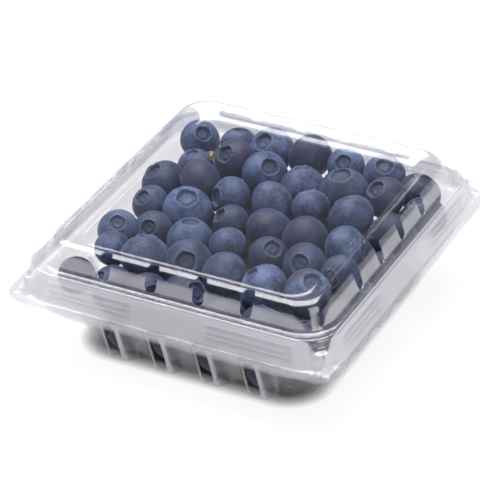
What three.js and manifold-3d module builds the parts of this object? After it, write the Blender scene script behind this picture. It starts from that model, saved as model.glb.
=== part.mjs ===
// Punnet of blueberries: a clear film clamshell, its vented tray full of loose berries.
// Millimetres, +Z up, X along the front wall, Y from the front to the hinge at the back.
// The origin is under the middle of the base, and the ribs of the tray stand on z = 0.
import * as THREE from 'three';
import { mergeVertices } from 'three/addons/utils/BufferGeometryUtils.js';
import Module from 'manifold-3d';

const wasm = await Module();
wasm.setup();

// ---- driving dimensions ----
const FILM = 0.5;                 // thickness of the formed sheet
const FLANGE_X = 58.0;            // half width over the flanges
const FLANGE_Y = 61.7;            // half depth over the flanges
const FLANGE_RADIUS = 8;          // corner radius of both flanges
const RIM_Z = 24.2;               // plane where the lid meets the tray
const RIM_GAP = 0.3;              // daylight between the two flanges
const HEIGHT = 42.6;              // top of the lid's crest

const PITCH_X = 16.5;             // spacing of ribs and slots along the front and back
const PITCH_Y = 15.8;             // spacing of ribs and slots along the two sides
const PER_SIDE = 4;               // ribs, and slots, on each side

const RIB_FACE = 5.2;             // width of a rib's outer face
const RIB_FLANK = 3.3;            // run of each sloping flank
const RIB_DEPTH = 4.0;            // how far a rib stands out from the tray wall
const VENT_WIDTH = 4.2;           // opening in a rib's face
const VENT_LOW = 2.6;
const VENT_HIGH = 17.2;
const VENT_INNER = 17;            // insets that the vent's cutter runs between
const VENT_OUTER = 6.4;

const SLOT_WIDTH = 4.2;           // opening over the lid's crest
const SLOT_INNER = 13.0;          // inset of the end beside the top panel
const SLOT_OUTER = 5.5;           // inset well outside the wall
const SLOT_LOW = 34.6;            // just above the ledge
const SLOT_HIGH = HEIGHT + 6;     // clear of the crest, so its round end cuts nothing

const LUG_RADIUS = 3.3;           // upright lug in each lower corner of the lid
const LUG_INSET = 8.2;
const LUG_TOP = 31.2;
const BUTTON_RADIUS = 1.9;        // snap button on the two front corners
const BUTTON_INSET = 4.1;
const BUTTON_HEIGHT = 1.3;
const STUD_RADIUS = 1.0;          // stud on the tray that each button snaps over
const STUD_HEIGHT = 0.75;

// Raised middle of the tray floor: its foot and top are insets from the flange edge.
const FLOOR_RISE = 1.5;
const FLOOR_FOOT = 24.6;
const FLOOR_TOP = 26.0;
const FLOOR_RADIUS_FOOT = 6;
const FLOOR_RADIUS_TOP = 5;

const BERRY_RADIUS = 8.3;
const BERRY_STEP = 14.8;          // spacing of the berries in a row on top of the heap
const ROW_STEP = 14.0;            // spacing of those rows
const HEAP_ROWS = 7;
const HEAP_COLUMNS = 6;
const HEAP_TOP = 37.6;
const LEFT_DROP = 14;             // hollow that the berries leave along the left wall
const LEFT_START = 25;            // the hollow begins this far left of the middle
const BACK_DROP = 2;
const BACK_START = 35;
const DROP_RUN = 20;              // distance over which the heap falls away
const CORE_DROP = 6.0;            // heap's tops down to where the berries close up
const CORE_CELLS = 9;             // cells across the top of that core
const STAGGER = 0.25;             // alternate rows shift by this share of a step
const SCATTER = 2;                // largest shift of a berry from its row, twice over
const UNEVEN = 0.16;              // spread of the berries' sizes
const CLEARANCE = 0.4;            // heap to film
const HEAP_NECK = 4.6;            // inset of the heap where it passes the two flanges
const HEAP_NECK_RADIUS = 13;

// Number of flat steps in each kind of curve.
const CORNER_STEPS = 5;
const LID_STEPS = 6;
const CYLINDER_SIDES = 10;
const SLOT_STEPS = 3;
const BERRY_SIDES = 7;
const BERRY_BANDS = 5;

const PROUD = 1;                  // how far a cutter passes the face it cuts
const SMALLEST_RADIUS = 1;
const MERGE_DISTANCE = 1e-4;

// A profile is a list of [inset from the flange edge, height, corner radius, rib depth].
const TRAY_PROFILE = [
  [19.4, 0.0, 7.8, RIB_DEPTH],
  [18.4, 0.7, 8.6, RIB_DEPTH],
  [17.9, 2.0, 9.0, RIB_DEPTH],
  [12.6, 18.3, 12.0, RIB_DEPTH],
  [5.6, 18.3, 17.0, 0],
  [4.7, 18.9, 17.0, 0],
  [3.4, RIM_Z - RIM_GAP / 2 - FILM, 14.0, 0],
];
const LID_PROFILE = [
  [2.8, RIM_Z + RIM_GAP / 2 + FILM, 13.2, 0],
  [4.1, 33.5, 12.2, 0],
  [4.9, 34.3, 11.8, 0],
  [7.7, 34.3, 11.0, 0],
  [9.9, 40.4, 9.6, 0],
  [10.6, 41.7, 9.2, 0],
  [11.9, 42.5, 8.6, 0],
  [13.2, HEIGHT, 8.0, 0],
  [14.8, 41.6, 7.6, 0],
  [17.4, 39.4, 7.0, 0],
];

// ---- rings, lofts and solids ----
function ribStations(pitch) {
  const half = RIB_FACE / 2;
  const stations = [];
  for (let i = 0; i < PER_SIDE; i += 1) {
    const middle = (i - (PER_SIDE - 1) / 2) * pitch;
    stations.push([middle - half - RIB_FLANK, 0], [middle - half, 1]);
    stations.push([middle + half, 1], [middle + half + RIB_FLANK, 0]);
  }
  return stations;
}

// One closed ring, counter-clockwise from above: each side's ribs, then its corner arc.
function ring([inset, z, radius, rib], ribbed, steps) {
  const points = [];
  for (let side = 0; side < 4; side += 1) {
    const turn = side * Math.PI / 2;
    const alongY = side % 2 === 0;
    const reach = (alongY ? FLANGE_X : FLANGE_Y) - inset;
    const length = (alongY ? FLANGE_Y : FLANGE_X) - inset;
    const flat = ribbed ? ribStations(alongY ? PITCH_Y : PITCH_X) : [];
    const local = flat.map(([along, out]) => [reach + out * rib, along]);
    for (let k = 0; k <= steps; k += 1) {
      const angle = (k / steps) * Math.PI / 2;
      local.push([
        reach - radius + radius * Math.cos(angle),
        length - radius + radius * Math.sin(angle),
      ]);
    }
    for (const [out, along] of local) {
      points.push([
        out * Math.cos(turn) - along * Math.sin(turn),
        out * Math.sin(turn) + along * Math.cos(turn),
        z,
      ]);
    }
  }
  return points;
}

// A closed skin through rings of equal count, with a flat cap on the first and the last.
function loft(rings) {
  const count = rings[0].length;
  const index = [];
  for (let k = 0; k + 1 < rings.length; k += 1) {
    for (let i = 0; i < count; i += 1) {
      const a = k * count + i;
      const b = k * count + ((i + 1) % count);
      index.push(a, b, b + count, a, b + count, a + count);
    }
  }
  const last = (rings.length - 1) * count;
  const capOf = (points) => {
    const outline = points.map(([x, y]) => new THREE.Vector2(x, y));
    return THREE.ShapeUtils.triangulateShape(outline, []);
  };
  for (const [a, b, c] of capOf(rings[0])) index.push(a, c, b);
  for (const [a, b, c] of capOf(rings[rings.length - 1])) index.push(last + a, last + b, last + c);
  const geometry = new THREE.BufferGeometry();
  geometry.setAttribute('position', new THREE.Float32BufferAttribute(rings.flat(2), 3));
  geometry.setIndex(index);
  return geometry;
}

function toSolid(geometry) {
  const bare = geometry.clone();
  bare.deleteAttribute('normal');
  bare.deleteAttribute('uv');
  const merged = mergeVertices(bare, MERGE_DISTANCE);
  return new wasm.Manifold(new wasm.Mesh({
    numProp: 3,
    vertProperties: new Float32Array(merged.attributes.position.array),
    triVerts: new Uint32Array(merged.index.array),
  }));
}

function toGeometry(solid) {
  const mesh = solid.getMesh();
  const geometry = new THREE.BufferGeometry();
  geometry.setAttribute('position', new THREE.BufferAttribute(mesh.vertProperties, 3));
  geometry.setIndex(new THREE.BufferAttribute(mesh.triVerts, 1));
  geometry.computeVertexNormals();
  return geometry;
}

const loftSolid = (profile, ribbed, steps) => (
  toSolid(loft(profile.map((point) => ring(point, ribbed, steps))))
);

// Direction square to the stretch between two points of a profile, pointing inwards.
function inwards([inset0, z0], [inset1, z1]) {
  const length = Math.hypot(inset1 - inset0, z1 - z0);
  return [(z1 - z0) / length, -(inset1 - inset0) / length];
}

// The same profile moved inwards by a distance, square to each of its stretches.
function inner(profile, distance) {
  const stretches = profile.slice(1).map((point, k) => inwards(profile[k], point));
  return profile.map(([inset, z, radius, rib], k) => {
    const below = stretches[Math.max(k - 1, 0)];
    const above = stretches[Math.min(k, stretches.length - 1)];
    const scale = distance / (1 + below[0] * above[0] + below[1] * above[1]);
    const moveInset = (below[0] + above[0]) * scale;
    const moveZ = (below[1] + above[1]) * scale;
    return [inset + moveInset, z + moveZ, Math.max(radius - moveInset, SMALLEST_RADIUS), rib];
  });
}

function cylinder(x, y, radius, low, high) {
  const geometry = new THREE.CylinderGeometry(radius, radius, high - low, CYLINDER_SIDES);
  geometry.rotateX(Math.PI / 2);
  geometry.translate(x, y, (low + high) / 2);
  return toSolid(geometry);
}

// ---- openings over the crest and in the ribs ----
function stadium(width, low, high) {
  const radius = width / 2;
  const shape = new THREE.Shape();
  shape.absarc(0, high - radius, radius, 0, Math.PI, false);
  shape.absarc(0, low + radius, radius, Math.PI, 2 * Math.PI, false);
  shape.closePath();
  return shape;
}

const extrude = (shape, depth) => (
  new THREE.ExtrudeGeometry(shape, { depth, bevelEnabled: false, curveSegments: SLOT_STEPS })
);

// An opening seen square to a side: it runs outwards from u0 to u1, with round ends.
function wallCutter(width, low, high, u0, u1) {
  const geometry = extrude(stadium(width, low, high), u1 - u0);
  const outX = new THREE.Vector3(1, 0, 0);
  const basis = new THREE.Matrix4();
  basis.makeBasis(new THREE.Vector3(0, 1, 0), new THREE.Vector3(0, 0, 1), outX);
  geometry.applyMatrix4(basis);
  geometry.translate(u0, 0, 0);
  return toSolid(geometry);
}

// An opening seen from above: round ends at u0 and u1.
function planCutter(width, u0, u1, low, high) {
  const geometry = extrude(stadium(width, u0, u1), high - low);
  geometry.rotateZ(-Math.PI / 2);
  geometry.translate(0, 0, low);
  return toSolid(geometry);
}

function cutEachSide(solid, cutterAt) {
  let result = solid;
  for (let side = 0; side < 4; side += 1) {
    const alongY = side % 2 === 0;
    const cutter = cutterAt(alongY ? FLANGE_X : FLANGE_Y);
    for (let i = 0; i < PER_SIDE; i += 1) {
      const along = (i - (PER_SIDE - 1) / 2) * (alongY ? PITCH_Y : PITCH_X);
      const placed = cutter.translate([0, along, 0]).rotate([0, 0, side * 90]);
      result = result.subtract(placed);
    }
  }
  return result;
}

// Both ends of a slot are round: seen from the side, and seen from above.
function slotCutter(half) {
  const start = half - SLOT_INNER;
  const end = half - SLOT_OUTER;
  return wallCutter(SLOT_WIDTH, SLOT_LOW, SLOT_HIGH, start - PROUD, end + PROUD)
    .intersect(planCutter(SLOT_WIDTH, start, end, SLOT_LOW - PROUD, SLOT_HIGH));
}

const ventCutter = (half) => (
  wallCutter(VENT_WIDTH, VENT_LOW, VENT_HIGH, half - VENT_INNER, half - VENT_OUTER)
);

// ---- sub-parts ----
const flangePlate = (low, high) => (
  loftSolid([[0, low, FLANGE_RADIUS, 0], [0, high, FLANGE_RADIUS, 0]], false, LID_STEPS)
);

const frontCorners = [[-1, -1], [1, -1]];
const allCorners = [...frontCorners, [1, 1], [-1, 1]];
const cornerPoint = ([sx, sy], inset) => [sx * (FLANGE_X - inset), sy * (FLANGE_Y - inset)];

function makeTray() {
  const top = RIM_Z - RIM_GAP / 2;
  const inside = inner(TRAY_PROFILE, FILM);
  const rim = inside[inside.length - 1];
  const cavity = loftSolid([...inside, [rim[0], top + PROUD, rim[2], 0]], true, CORNER_STEPS);
  const hollowProfile = [
    [FLOOR_FOOT, -PROUD, FLOOR_RADIUS_FOOT, 0],
    [FLOOR_FOOT, 0, FLOOR_RADIUS_FOOT, 0],
    [FLOOR_TOP, FLOOR_RISE, FLOOR_RADIUS_TOP, 0],
  ];
  const raisedProfile = [
    [FLOOR_FOOT - FILM, FILM / 5, FLOOR_RADIUS_FOOT, 0],
    [FLOOR_FOOT - FILM, FILM, FLOOR_RADIUS_FOOT, 0],
    [FLOOR_TOP - FILM, FLOOR_RISE + FILM, FLOOR_RADIUS_TOP, 0],
  ];
  let tray = loftSolid([...TRAY_PROFILE, [rim[0] - FILM, top, rim[2], 0]], true, CORNER_STEPS)
    .add(flangePlate(top - FILM, top))
    .subtract(cavity)
    .add(loftSolid(raisedProfile, false, CORNER_STEPS))
    .subtract(loftSolid(hollowProfile, false, CORNER_STEPS));
  for (const corner of frontCorners) {
    const [x, y] = cornerPoint(corner, BUTTON_INSET);
    tray = tray.add(cylinder(x, y, STUD_RADIUS, top - FILM, top + STUD_HEIGHT));
  }
  return cutEachSide(tray, ventCutter);
}

function makeLid() {
  const low = RIM_Z + RIM_GAP / 2;
  const inside = inner(LID_PROFILE, FILM);
  const foot = inside[0];
  let outer = loftSolid(LID_PROFILE, false, LID_STEPS).add(flangePlate(low, low + FILM));
  let cavity = loftSolid([[foot[0], low - PROUD, foot[2], 0], ...inside], false, LID_STEPS);
  for (const corner of allCorners) {
    const [x, y] = cornerPoint(corner, LUG_INSET);
    outer = outer.add(cylinder(x, y, LUG_RADIUS, low, LUG_TOP));
    cavity = cavity.add(cylinder(x, y, LUG_RADIUS - FILM, low - PROUD, LUG_TOP - FILM));
  }
  for (const corner of frontCorners) {
    const [x, y] = cornerPoint(corner, BUTTON_INSET);
    const crown = low + BUTTON_HEIGHT;
    outer = outer.add(cylinder(x, y, BUTTON_RADIUS, low, crown));
    cavity = cavity.add(cylinder(x, y, BUTTON_RADIUS - FILM, low - PROUD, crown - FILM));
  }
  return cutEachSide(outer.subtract(cavity), slotCutter);
}

// Height of the heap's tops: full everywhere but along the left wall, where it falls away.
function heapTop(x, y) {
  const fall = (distance) => THREE.MathUtils.smoothstep(distance, 0, DROP_RUN);
  return HEAP_TOP - LEFT_DROP * fall(-x - LEFT_START) - BACK_DROP * fall(y - BACK_START);
}

// A repeatable unevenness between -0.5 and 0.5 for each berry; the three factors are arbitrary.
const wobble = (i, j, seed) => Math.sin(i * 12.9 + j * 78.2 + seed * 37.7) * 0.5;

function makeHeap() {
  const across = 2 * FLANGE_X;
  const deep = 2 * FLANGE_Y;
  const block = new THREE.BoxGeometry(across, deep, 2, CORE_CELLS, CORE_CELLS, 1);
  const position = block.attributes.position;
  for (let i = 0; i < position.count; i += 1) {
    const isTop = position.getZ(i) > 0;
    const top = heapTop(position.getX(i), position.getY(i)) - CORE_DROP;
    position.setZ(i, isTop ? top : -PROUD);
  }
  let heap = toSolid(block);
  for (let row = 0; row < HEAP_ROWS; row += 1) {
    for (let column = 0; column < HEAP_COLUMNS; column += 1) {
      const stagger = row % 2 === 0 ? -STAGGER : STAGGER;
      const along = column - (HEAP_COLUMNS - 1) / 2 + stagger;
      const x = along * BERRY_STEP + SCATTER * wobble(row, column, 1);
      const y = (row - (HEAP_ROWS - 1) / 2) * ROW_STEP + SCATTER * wobble(row, column, 2);
      const radius = BERRY_RADIUS * (1 + UNEVEN * wobble(row, column, 3));
      const ball = new THREE.SphereGeometry(radius, BERRY_SIDES, BERRY_BANDS);
      ball.rotateX(Math.PI / 2);
      ball.translate(x, y, heapTop(x, y) - radius + SCATTER * wobble(row, column, 4));
      heap = heap.add(toSolid(ball));
    }
  }
  const skin = FILM + CLEARANCE;
  const insideTray = inner(TRAY_PROFILE, skin).map(([i, z, r]) => [i, z + FLOOR_RISE, r, 0]);
  const insideLid = inner(LID_PROFILE, skin);
  const neck = insideTray[insideTray.length - 1];
  const trayTop = [neck[0], RIM_Z + PROUD, neck[2], 0];
  const lidFoot = [HEAP_NECK, RIM_Z - PROUD, HEAP_NECK_RADIUS, 0];
  const inTray = loftSolid([...insideTray, trayTop], false, CORNER_STEPS);
  const inLid = loftSolid([lidFoot, ...insideLid.slice(1)], false, CORNER_STEPS);
  return heap.intersect(inTray.add(inLid));
}

// ---- scene graph ----
const FILM_COLOUR = 0xd4d7dc;
const BERRY_COLOUR = 0x343b57;

const film = new THREE.MeshStandardMaterial({
  color: FILM_COLOUR,
  roughness: 0.08,
  metalness: 0,
  transparent: true,
  opacity: 0.3,
});
const skinOfBerries = new THREE.MeshStandardMaterial({
  color: BERRY_COLOUR,
  roughness: 0.6,
  metalness: 0,
});

const punnet = new THREE.Group();
const pieces = [
  ['tray', makeTray(), film.clone()],
  ['lid', makeLid(), film],
  ['berries', makeHeap(), skinOfBerries],
];
for (const [name, solid, material] of pieces) {
  const mesh = new THREE.Mesh(toGeometry(solid), material);
  mesh.name = name;
  punnet.add(mesh);
}

export default punnet;
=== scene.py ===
# %% [markdown]
# # A punnet of blueberries
#
# The object is a clear clamshell: a ribbed tray and a slotted lid, both formed from one sheet of
# thin film and joined by a folded strip along the back. Inside lies a heap of loose blueberries.
# The frame gives the size of every part, so this lesson starts by loading it. Everything is in
# metres, with X along the front wall, Y from the front to the hinge, and Z up.

# %% Load the frame
import math

import bmesh
import bpy
import numpy as np
from mathutils import Matrix, Vector
from mathutils.bvhtree import BVHTree


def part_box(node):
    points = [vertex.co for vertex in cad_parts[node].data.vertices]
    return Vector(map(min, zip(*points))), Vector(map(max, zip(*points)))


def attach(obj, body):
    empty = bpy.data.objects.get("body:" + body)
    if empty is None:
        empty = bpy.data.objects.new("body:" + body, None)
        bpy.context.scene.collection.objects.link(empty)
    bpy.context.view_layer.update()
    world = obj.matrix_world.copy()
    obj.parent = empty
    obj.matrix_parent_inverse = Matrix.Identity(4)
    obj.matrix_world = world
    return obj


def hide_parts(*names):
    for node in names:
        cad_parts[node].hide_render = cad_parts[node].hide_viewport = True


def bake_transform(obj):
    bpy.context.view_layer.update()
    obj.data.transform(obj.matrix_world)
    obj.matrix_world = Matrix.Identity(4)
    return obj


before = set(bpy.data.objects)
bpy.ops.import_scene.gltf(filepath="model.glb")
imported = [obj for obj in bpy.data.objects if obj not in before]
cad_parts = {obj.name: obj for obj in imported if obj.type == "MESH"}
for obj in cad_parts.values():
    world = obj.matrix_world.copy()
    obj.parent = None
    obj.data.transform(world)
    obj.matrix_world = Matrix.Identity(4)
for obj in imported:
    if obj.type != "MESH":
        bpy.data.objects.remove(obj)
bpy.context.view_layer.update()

MM = 0.001
lid_low, lid_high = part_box("lid")
for name in ("tray", "lid", "berries"):
    low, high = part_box(name)
    print(name, [round(v / MM, 2) for v in low], [round(v / MM, 2) for v in high])

# %% [markdown]
# ## What the frame says about the pack
#
# Both flanges have the same outline, so the lid's box gives their half sizes. The rim is the
# level where lid and tray meet, just below the lid's lowest face. Every other level is a height
# above the feet, and every other place is an inset from the flange's edge, because that is how
# the mould for such a pack is drawn.

# %% Sizes taken from the frame
HALF_X = lid_high[0] / MM
HALF_Y = lid_high[1] / MM
LID_LOW = lid_low[2] / MM
HALF_GAP = 0.15
RIM = LID_LOW - HALF_GAP
CREST = lid_high[2] / MM
FILM = 0.45
print("half sizes", round(HALF_X, 2), round(HALF_Y, 2), "rim", round(RIM, 2), "crest", CREST)

# %% [markdown]
# ## Camera
#
# A pack shot is taken with a long lens from a little above, so that the far edges hardly shrink.
# The camera is set by two angles, a small lean and a distance from a point in the middle of the
# pack.

# %% Camera
CAMERA_TURN = math.radians(27.75)
CAMERA_RISE = math.radians(32.37)
CAMERA_LEAN = math.radians(-1.52)
CAMERA_DISTANCE = 0.90056
CAMERA_LENS = 210.0
AIM_RIGHT = -4.63 * MM
AIM_UP = -7.05 * MM
AIM_CENTRE = Vector((0.8 * MM, 0.0, 34.2 * MM))


def add_object(name, data):
    """Put new data into the scene as an object."""
    made = bpy.data.objects.new(name, data)
    bpy.context.scene.collection.objects.link(made)
    return made


def make_camera():
    """A long lens aimed at the middle of the pack."""
    level = math.cos(CAMERA_RISE)
    back = Vector((
        math.sin(CAMERA_TURN) * level,
        -math.cos(CAMERA_TURN) * level,
        math.sin(CAMERA_RISE),
    ))
    right = Vector((math.cos(CAMERA_TURN), math.sin(CAMERA_TURN), 0.0))
    up = back.cross(right)
    centre = AIM_CENTRE + right * AIM_RIGHT + up * AIM_UP
    lean_right = right * math.cos(CAMERA_LEAN) + up * math.sin(CAMERA_LEAN)
    lean_up = up * math.cos(CAMERA_LEAN) - right * math.sin(CAMERA_LEAN)
    matrix = Matrix((lean_right, lean_up, back)).transposed().to_4x4()
    matrix.translation = centre + back * CAMERA_DISTANCE
    data = bpy.data.cameras.new("camera")
    data.sensor_width = 36.0
    data.lens = CAMERA_LENS
    data.clip_end = 30.0
    made = bpy.data.objects.new("camera", data)
    made.matrix_world = matrix
    bpy.context.scene.collection.objects.link(made)
    bpy.context.scene.camera = made
    return made


camera = make_camera()
print("camera at", [round(v, 3) for v in camera.location])

# %% [markdown]
# ## Rings
#
# A formed pack is a stack of rounded rectangles. One function makes such a ring from its inset,
# height and corner radius, and a relief function may push each point in or out, square to the
# wall. Ribs, ridges and lugs are all such reliefs. Every ring of one skin has the same number of
# points, so neighbours join into rows of four-sided faces.

# %% Rings
def side_sizes(side):
    """Reach of a side from the middle, and its half length."""
    return (HALF_X, HALF_Y) if side % 2 == 0 else (HALF_Y, HALF_X)


def ring(inset, z, radius, marks, corner_steps, relief):
    """Points of one ring, anticlockwise from above, as millimetres."""
    rows = []
    for side in range(4):
        reach, half = side_sizes(side)
        reach, half = reach - inset, half - inset
        straight = half - radius
        local = []
        for t in marks[side % 2]:
            along = t * straight
            local.append((reach + relief(side, along, None, inset, z, radius), along))
        for k in range(1, corner_steps):
            angle = k / corner_steps * math.pi / 2
            grown = radius + relief(side, None, angle, inset, z, radius)
            local.append((
                reach - radius + grown * math.cos(angle),
                straight + grown * math.sin(angle),
            ))
        turn = side * math.pi / 2
        cos, sin = math.cos(turn), math.sin(turn)
        rows += [(out * cos - by * sin, out * sin + by * cos, z) for out, by in local]
    return rows


def ease(low, high, value):
    """Smooth step from 0 at low to 1 at high."""
    t = min(max((value - low) / (high - low), 0.0), 1.0)
    return t * t * (3 - 2 * t)


# %% [markdown]
# ## Profiles with rounded bends
#
# Hot film never takes a sharp bend: it bridges each corner of the mould with a small curve. So a
# profile is written as a short list of corners, and one helper rounds every corner and divides
# the long stretches. The curves are what catch the bright lines along the edges of a clear pack.

# %% Rounded profiles
def soften(profile, cut, steps=4):
    """Profile with each corner replaced by a curve that starts cut millimetres away."""
    points = [np.array(p, float) for p in profile]
    result = [points[0]]
    for before, here, after in zip(points, points[1:], points[2:]):
        back, ahead = before - here, after - here
        share_back = min(cut / np.linalg.norm(back[:2]), 0.45)
        share_ahead = min(cut / np.linalg.norm(ahead[:2]), 0.45)
        start, end = here + back * share_back, here + ahead * share_ahead
        for t in np.linspace(0, 1, steps):
            result.append(start * (1 - t) ** 2 + here * 2 * t * (1 - t) + end * t * t)
    result.append(points[-1])
    return result


def divide(profile, longest):
    """Profile with no stretch longer than that."""
    result = [profile[0]]
    for here, after in zip(profile, profile[1:]):
        pieces = max(1, math.ceil(np.linalg.norm((after - here)[:2]) / longest))
        result += [here + (after - here) * (k + 1) / pieces for k in range(pieces)]
    return result


def loft(name, rings, outwards):
    """A skin through rings, closed by a cap on its last ring, as a new mesh object."""
    count = len(rings[0])
    points = [Vector(p) * MM for row in rings for p in row]
    faces = []
    for k in range(len(rings) - 1):
        for i in range(count):
            a, b = k * count + i, k * count + (i + 1) % count
            faces.append((a, b, b + count, a + count))
    last = (len(rings) - 1) * count
    faces.append(tuple(range(last, last + count)))
    if not outwards:
        faces = [face[::-1] for face in faces]
    data = bpy.data.meshes.new(name)
    data.from_pydata(points, [], faces)
    print(name, "needed mending" if data.validate() else "is a sound mesh")
    data.update()
    return add_object(name, data)


test_profile = soften([(0, 0, 8, 0), (4, 0, 10, 0), (5, 8, 10, 0)], 1.5)
print("three corners become", len(divide(test_profile, 1.0)), "rings")

# %% [markdown]
# ## The lid's relief
#
# The lid's lower wall has three shallow ridges that run level along each side and stop at a
# smooth zone for a label. Each corner has an upright half-round lug that stiffens it. Both are
# pressed from the same sheet, so they are reliefs of the one skin.

# %% Lid relief
RIDGE_LOW, RIDGE_HIGH, RIDGE_COUNT, RIDGE_DEPTH = 26.0, 32.3, 3, 0.55
RIDGE_ZONES = [(18.0, 46.5), (13.0, 42.5)]
RIDGE_FADE = 0.8
LUG_RADIUS, LUG_CENTRE, LUG_TOP = 3.2, 11.7, 31.4
WALL_INSET, LEDGE_LEVEL = 5, 34.0


def ridge_share(side, along):
    """1 where the ridges run, 0 in the label zone and at the corners."""
    start, end = RIDGE_ZONES[side % 2]
    reach = abs(along)
    begun = ease(start - RIDGE_FADE, start + RIDGE_FADE, reach)
    return begun * (1 - ease(end - RIDGE_FADE, end + RIDGE_FADE, reach))


def lid_relief(side, along, angle, inset, z, radius):
    """Ridges along the straight stretches of the lower wall, and a lug in each corner."""
    if angle is None:
        if not RIDGE_LOW < z < RIDGE_HIGH or inset > WALL_INSET:
            return 0.0
        turn = (z - RIDGE_LOW) / (RIDGE_HIGH - RIDGE_LOW) * RIDGE_COUNT * 2 * math.pi
        return -RIDGE_DEPTH * (0.5 - 0.5 * math.cos(turn)) * ridge_share(side, along)
    if z < LID_LOW + FILM + 0.2 or z > LEDGE_LEVEL or inset > WALL_INSET:
        return 0.0
    off = abs(angle - math.pi / 4)
    across = LUG_CENTRE * math.sin(off)
    if across >= LUG_RADIUS:
        return 0.0
    reach = LUG_CENTRE * math.cos(off) + math.sqrt(LUG_RADIUS ** 2 - across ** 2)
    return max(reach - radius, 0.0) * (1 - ease(LUG_TOP - 0.9, LUG_TOP + 0.2, z))


# %% [markdown]
# ## Where the points of a ring go
#
# Points are spent where the shape changes: at the ends of the ridges on the lid, and on the
# flanks of the ribs on the tray. Places along a side are given as shares of its straight length.

# %% Marks along the sides
def marks_from(places, straight):
    """Shares of a straight length, from places in millimetres either side of the middle."""
    both = sorted(set([round(p, 3) for p in places] + [round(-p, 3) for p in places]))
    fit = min(1.0, 0.97 * straight / both[-1])
    return [-1.0] + [p * fit / straight for p in both] + [1.0]


MIDDLE_MARKS = [0, 4, 8, 12]
LOWER_WALL_INSET, LOWER_WALL_RADIUS = 3, 13.2


def lid_marks(side):
    """Points close together at the ends of the ridges, and further apart between."""
    start, end = RIDGE_ZONES[side % 2]
    places = list(MIDDLE_MARKS)
    places += list(np.linspace(start - 1, start + 1, 6))
    places += list(np.linspace(start + 3, end - 3, 9))
    places += list(np.linspace(end - 1, end + 1, 6))
    straight = side_sizes(side)[1] - LOWER_WALL_INSET - LOWER_WALL_RADIUS
    return marks_from(places, straight)


marks_lid = [lid_marks(0), lid_marks(1)]
print("marks on the lid's sides", [len(m) for m in marks_lid])

# %% [markdown]
# ## The lid
#
# The lid is one skin from the edge of its flange, up the ridged wall, over a small shoulder and a
# ledge, up a second wall to the crest, and down into a flat panel. It is lofted from the outside
# face, then given its thickness on the inner side.

# %% The lid's skin
LID_FACE = LID_LOW + FILM
LID_CORNERS = [
    (0.0, LID_FACE, 8.0, 0),
    (2.3, LID_FACE, 12.6, 0),
    (2.95, 26.4, 13.1, 0),
    (4.05, 33.2, 12.2, 0),
    (4.35, 34.0, 12.0, 0),
    (4.9, 34.45, 11.8, 0),
    (5.5, 34.25, 11.6, 0),
    (7.6, 34.3, 11.0, 0),
    (9.9, 40.4, 9.6, 0),
    (10.6, 41.7, 9.2, 0),
    (11.9, 42.45, 8.6, 0),
    (13.2, CREST, 8.0, 0),
    (14.8, 41.7, 7.6, 0),
    (17.4, 39.5, 7.0, 0),
    (18.1, 39.3, 7.0, 0),
    (18.7, 39.45, 7.0, 0),
    (50.0, 39.4, 3.0, 0),
]
WALL_STEP, PANEL_STEP, PANEL_START = 0.6, 4.0, 18.7
LID_BEND, LID_CORNER_STEPS = 0.8, 30


def rings_of(corners, cut, marks, corner_steps, relief):
    """Rings of a whole profile: close together on the walls, far apart on the flat middle."""
    profile = soften(corners, cut)
    walls = [p for p in profile if p[0] <= PANEL_START]
    middle = [walls[-1]] + [p for p in profile if p[0] > PANEL_START]
    points = divide(walls, WALL_STEP) + divide(middle, PANEL_STEP)[1:]
    return [ring(i, z, r, marks, corner_steps, relief) for i, z, r, _ in points]


lid_rings = rings_of(LID_CORNERS, LID_BEND, marks_lid, LID_CORNER_STEPS, lid_relief)
lid_skin = loft("lid_film", lid_rings, True)
print("lid", len(lid_rings), "rings of", len(lid_rings[0]))

# %% [markdown]
# ## The tray's relief
#
# Four hollow ribs stand out from each wall of the tray, with sloping flanks and flat faces. They
# end below the collar, and their feet carry the pack. The depth of a rib is part of the profile,
# so that it dies out where the ledge begins.

# %% Tray relief
PITCH = (15.8, 16.5)
PER_SIDE = 4
RIB_HALF_FACE, RIB_FLANK, RIB_DEPTH = 2.6, 3.3, 4.0
middles = [(k - (PER_SIDE - 1) / 2) for k in range(PER_SIDE)]


def rib_share(side, along):
    """1 on the face of a rib, 0 on the wall between two ribs."""
    off = min(abs(along - m * PITCH[side % 2]) for m in middles)
    t = min(max((RIB_HALF_FACE + RIB_FLANK - off) / RIB_FLANK, 0.0), 1.0)
    return 0.8 * t + 0.2 * t * t * (3 - 2 * t)


def tray_marks(side):
    """Points on the face and down both flanks of each rib."""
    places = []
    flank = np.linspace(RIB_HALF_FACE - 0.3, RIB_HALF_FACE + RIB_FLANK + 0.3, 7)
    for m in middles[PER_SIDE // 2:]:
        middle = m * PITCH[side % 2]
        places += [middle, middle - 1.3, middle + 1.3]
        places += list(middle + flank) + list(middle - flank)
    return places


def tray_ring(inset, z, radius, depth, places, corner_steps):
    """Ring whose marks keep their places in millimetres, so that ribs stay upright."""
    marks = []
    for side in (0, 1):
        straight = side_sizes(side)[1] - inset - radius
        marks.append(marks_from(places[side], straight))

    def relief(side, along, angle, inset, z, radius):
        return 0.0 if along is None else depth * rib_share(side, along)

    return ring(inset, z, radius, marks, corner_steps, relief)


# %% [markdown]
# ## The tray
#
# The tray is lofted from its outer face too: from the raised middle of its floor, over the feet,
# up the ribbed wall, out along a ledge, up the collar and out to the edge of its flange.

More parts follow.
